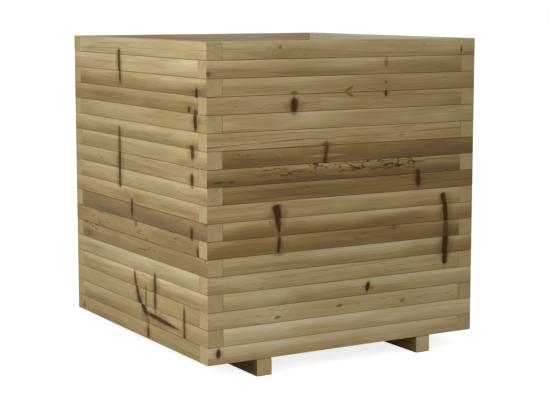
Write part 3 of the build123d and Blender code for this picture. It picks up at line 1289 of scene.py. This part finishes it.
# %% Make one screw
def screw_form(length):
    """One screw with the top of its head at z = 0, pointing down."""
    made = bmesh.new()
    deep_radius, deep_lobes = DRIVE_RADIUS * DRIVE_TAPER, LOBE_DEPTH * DRIVE_TAPER
    floor_of_drive = ring_of(made, deep_radius, -DRIVE_DEPTH, HEAD_SIDES, deep_lobes)
    drive = ring_of(made, DRIVE_RADIUS, 0, HEAD_SIDES, LOBE_DEPTH)
    flat = ring_of(made, HEAD_RADIUS - RIM_EDGE, 0, HEAD_SIDES)
    rim = ring_of(made, HEAD_RADIUS, -RIM_EDGE, HEAD_SIDES)
    neck = ring_of(made, SHANK_RADIUS, -(HEAD_RADIUS - SHANK_RADIUS) - RIM_EDGE, HEAD_SIDES // 4)
    thread_start = -length * SMOOTH_SHARE
    shank = ring_of(made, SHANK_RADIUS, thread_start, THREAD_SIDES)
    made.faces.new(floor_of_drive)
    for upper, lower in ((floor_of_drive, drive), (drive, flat), (flat, rim), (rim, neck), (neck, shank)):
        join_rings(made, upper, lower)
    add_thread(made, shank, thread_start, -length)
    bmesh.ops.recalc_face_normals(made, faces=made.faces)
    return made


# %% [markdown]
# No two heads stop at the same angle when screws are driven, so each is turned by lot.
# The screws of one CAD piece become one mesh, because a hundred and fifty objects would be in the way.

# %% Drive the screws in
STEEL_SHARP_ANGLE = math.radians(40)


def drive_in(node):
    """All the screws of one CAD node as one piece."""
    pattern = bpy.data.meshes.new("pattern")
    one = screw_form(SCREWS[node][0][2] - HEAD_SUNK)
    one.to_mesh(pattern)
    one.free()
    rng = random.Random(node)
    made = bmesh.new()
    for head, way, _ in SCREWS[node]:
        before = len(made.verts)
        made.from_mesh(pattern)
        made.verts.ensure_lookup_table()
        facing = UP.rotation_difference(way).to_matrix().to_4x4()
        turned_by_lot = facing @ Matrix.Rotation(rng.uniform(0, ANY_TURN), 4, "Z")
        place = Matrix.Translation(head - way * HEAD_SUNK) @ turned_by_lot
        bmesh.ops.transform(made, matrix=place, verts=made.verts[before:])
    mesh = bpy.data.meshes.new(node)
    made.to_mesh(mesh)
    made.free()
    bpy.data.meshes.remove(pattern)
    mesh.set_sharp_from_angle(angle=STEEL_SHARP_ANGLE)
    return set_down(f"{node}_steel", mesh, Matrix.Identity(4), [coated_steel], node)


driven = [drive_in(node) for node in SCREW_NODES]
print("screw pieces:", {piece.name: len(piece.data.polygons) for piece in driven})

# %% [markdown]
# ## Studio
#
# The picture has a plain white ground, one soft light from the left and a weaker one from the front.
# Turning the lamps up until the floor burns out would bleach the timber too.
# The floor and the world look white to the camera only, by Light Path, while the lamps stay at a level at
# which a colour renders as it is written. The floor still takes the bed's shadow.

# %% Floor and world
FLOOR_HALF, FLOOR_SUNK = 40.0, 0.0005
FLOOR_GREY = (0.62, 0.62, 0.62, 1.0)
FLOOR_GLOW = 0.80
SKY_LIGHT = 0.48


def seen_directly(tree):
    """1 for rays from the camera, and for those that a shiny or clear surface sends on."""
    kinds = [f"Is {kind} Ray" for kind in ("Camera", "Glossy", "Transmission")]
    camera_ray, shiny_ray, clear_ray = (add_node(tree, "ShaderNodeLightPath", {}, kind) for kind in kinds)
    return calc(tree, "MAXIMUM", camera_ray, calc(tree, "MAXIMUM", shiny_ray, clear_ray))


def pale_floor():
    """The material of the studio floor: grey to the lamps, and white to the camera."""
    material, tree, shader = new_material("pale_floor")
    tree.nodes.remove(shader)
    paint = add_node(tree, "ShaderNodeBsdfDiffuse", {"Color": FLOOR_GREY})
    strength = seen_directly(tree) * FLOOR_GLOW
    glow = add_node(tree, "ShaderNodeEmission", {"Strength": strength})
    both = add_node(tree, "ShaderNodeAddShader", {0: paint, 1: glow})
    plug(tree, both, tree.nodes["Material Output"].inputs["Surface"])
    return material


ground = bmesh.new()
bmesh.ops.create_grid(ground, x_segments=1, y_segments=1, size=FLOOR_HALF)
ground_mesh = bpy.data.meshes.new("studio_floor")
ground.to_mesh(ground_mesh)
ground.free()
studio_floor = bpy.data.objects.new("studio_floor", ground_mesh)
bpy.context.scene.collection.objects.link(studio_floor)
studio_floor.location.z = -FLOOR_SUNK
studio_floor.data.materials.append(pale_floor())

world = bpy.data.worlds.new("studio")
bpy.context.scene.world = world
world.use_nodes = True
sky = world.node_tree
background = sky.nodes["Background"]
background.inputs["Color"].default_value = (1.0, 1.0, 1.0, 1.0)
plug(sky, ease(sky, seen_directly(sky), 0.0, 1.0, SKY_LIGHT, 1.0), background.inputs["Strength"])
print("studio:", studio_floor.name, "and", world.name)

# %% [markdown]
# ## Lamps
#
# A strong cool lamp on the left lights the left wall, and a weaker warm one in front fills the other.
# A sun would do it with less, but it draws hard edges under the battens that the picture doesn't show.
# Large square lamps are soft. Their powers were matched so that pale and dark battens come out in the
# tones that the same battens have in the picture.

# %% Lamps
LAMP_SIZE = 1.6
KEY_PLACE, KEY_WATTS, KEY_TINT = (-2.9, -0.9, 1.4), 63, (0.93, 0.985, 1.0)
FILL_PLACE, FILL_WATTS, FILL_TINT = (-1.5, -2.7, 1.1), 25, (1.0, 0.965, 0.93)


def soft_lamp(name, place, target, size, power, colour):
    """A square lamp that faces a target."""
    lamp = bpy.data.lights.new(name, "AREA")
    lamp.shape = "SQUARE"
    lamp.size = size
    lamp.energy = power
    lamp.color = colour
    holder = bpy.data.objects.new(name, lamp)
    bpy.context.scene.collection.objects.link(holder)
    holder.location = place
    holder.rotation_euler = (Vector(target) - Vector(place)).to_track_quat("-Z", "Y").to_euler()
    return holder


bed_middle = (0, 0, cad_box[1][2] / 2)
key = soft_lamp("key_from_the_left", KEY_PLACE, bed_middle, LAMP_SIZE, KEY_WATTS, KEY_TINT)
fill = soft_lamp("fill_from_the_front", FILL_PLACE, bed_middle, LAMP_SIZE, FILL_WATTS, FILL_TINT)
print("lamps:", key.name, "and", fill.name)

# %% [markdown]
# ## Camera
#
# The camera stands where a fit to the picture's corners puts it: about four metres from the near corner,
# a little above the rim, with a long lens.
# The picture's upright edges are truly upright, which a large lens shift would copy, but that would push
# the bed out of every other view, so the camera tips down and keeps only a small shift.

# %% Place the camera
CAMERA_PLACE = (-1.995, -3.4331, 0.9216)
CAMERA_TIP = 7.19
CAMERA_TURN = 30.458
LENS = 94.675
LENS_SHIFT = -0.04

lens = bpy.data.cameras.new("camera")
lens.lens = LENS
lens.sensor_width = 36.0
lens.shift_y = LENS_SHIFT
camera = bpy.data.objects.new("camera", lens)
bpy.context.scene.collection.objects.link(camera)
camera.location = CAMERA_PLACE
camera.rotation_euler = (math.radians(90 - CAMERA_TIP), 0, math.radians(-CAMERA_TURN))
bpy.context.scene.camera = camera
bpy.context.scene.view_settings.view_transform = "Standard"
